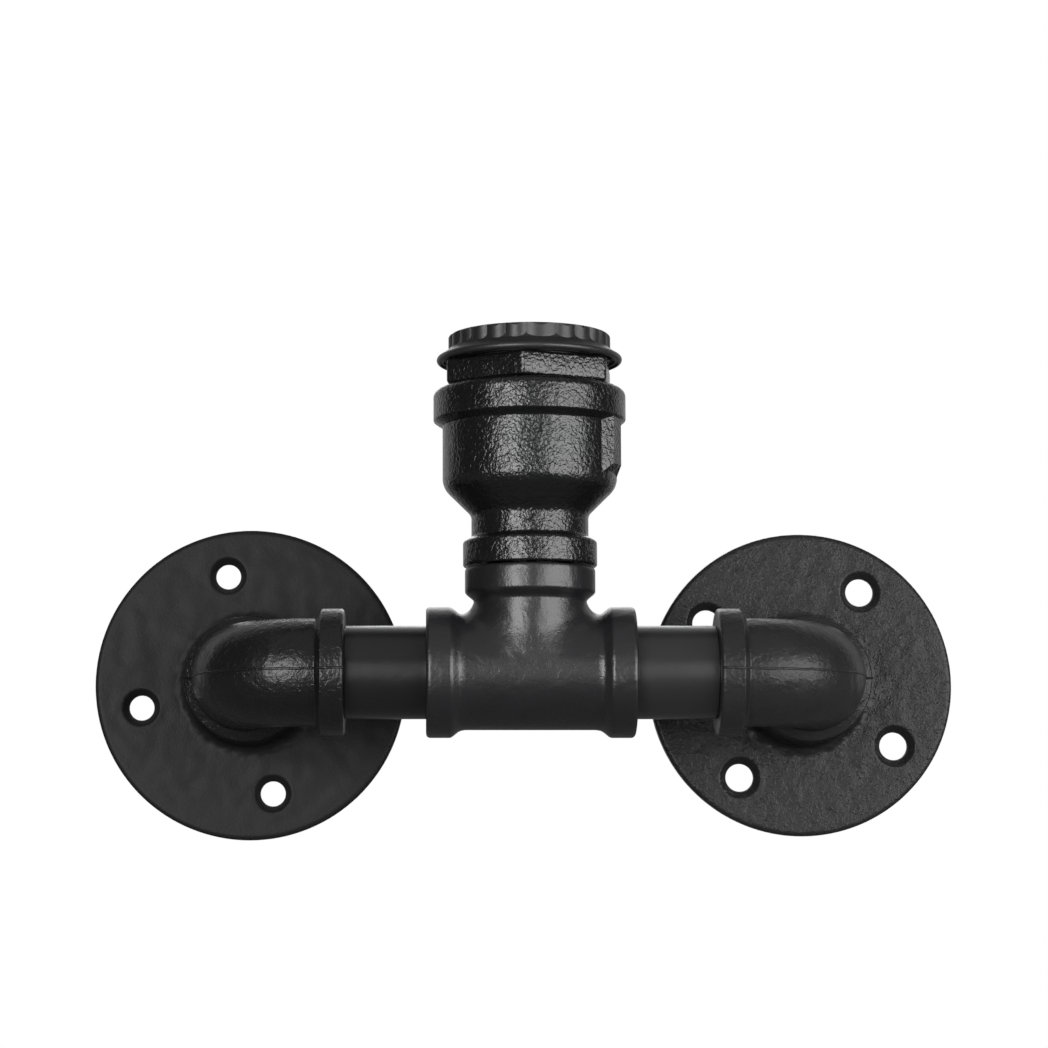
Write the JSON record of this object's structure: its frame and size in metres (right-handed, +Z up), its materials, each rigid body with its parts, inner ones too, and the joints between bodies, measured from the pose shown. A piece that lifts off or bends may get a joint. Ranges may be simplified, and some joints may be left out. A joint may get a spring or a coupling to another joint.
{
  "type": "wall light",
  "caption": "Wall light of black pipe fittings: two round wall flanges carry a cross pipe, and its tee carries an upright reducer with a lamp holder and a fluted ring.",
  "frame": {"origin": "on the wall plane, midway between the flanges and level with the cross pipe", "axes": "+X to the right along the cross pipe, +Y into the wall, +Z up along the lamp head"},
  "size_m": [0.26, 0.0799, 0.1454],
  "materials": {
    "flange_iron": "satin",
    "fitting_paint": "gloss",
    "pipe_paint": "satin",
    "ring_plastic": "satin",
    "holder_metal": "satin",
    "cap_plastic": "matte",
    "ceramic_white": "unglazed",
    "shell_brass": "bright",
    "small_steel": "plated",
    "cable_jacket": "matte",
    "lead_black": "satin",
    "lead_white": "satin",
    "lead_green": "satin"
  },
  "bodies": {
    "frame": {"left_wall_flange": "flange_iron", "right_wall_flange": "flange_iron", "left_flange_nipple": "pipe_paint", "right_flange_nipple": "pipe_paint", "left_elbow": "fitting_paint", "right_elbow": "fitting_paint", "frame_cable": "cable_jacket"},
    "head": {"tee": "fitting_paint", "bell_reducer": "fitting_paint", "hex_bushing": "fitting_paint", "left_arm_pipe": "pipe_paint", "right_arm_pipe": "pipe_paint", "riser_nipple": "pipe_paint", "holder_barrel": "holder_metal", "holder_back_nut": "holder_metal", "holder_cap": "cap_plastic", "ceramic_insert": "ceramic_white", "screw_shell": "shell_brass", "live_terminal": "shell_brass", "neutral_terminal": "shell_brass", "contact_spring": "small_steel", "terminal_screws": "small_steel", "earth_tag": "small_steel", "head_cable": "cable_jacket", "live_lead": "lead_black", "neutral_lead": "lead_white", "earth_lead": "lead_green"},
    "shade_ring": {"shade_ring": "ring_plastic"},
    "plunger": {"centre_contact": "shell_brass", "contact_clip": "small_steel"}
  },
  "joints": [
    {"name": "head_tilt", "type": "hinge", "parent": "frame", "child": "head", "pos_m": [0, -0.052, 0], "axis": [1, 0, 0], "range_deg": [-13, 180]},
    {"name": "ring_unscrew", "type": "slide", "parent": "head", "child": "shade_ring", "axis": [0, 0, 1], "range_m": [0, 0.009]},
    {"name": "contact_press", "type": "slide", "parent": "head", "child": "plunger", "axis": [0, 0, -1], "range_m": [0, 0.0015], "stiffness_N_per_m": 800, "springref_m": -0.001, "deforming": ["contact_spring"]}
  ]
}
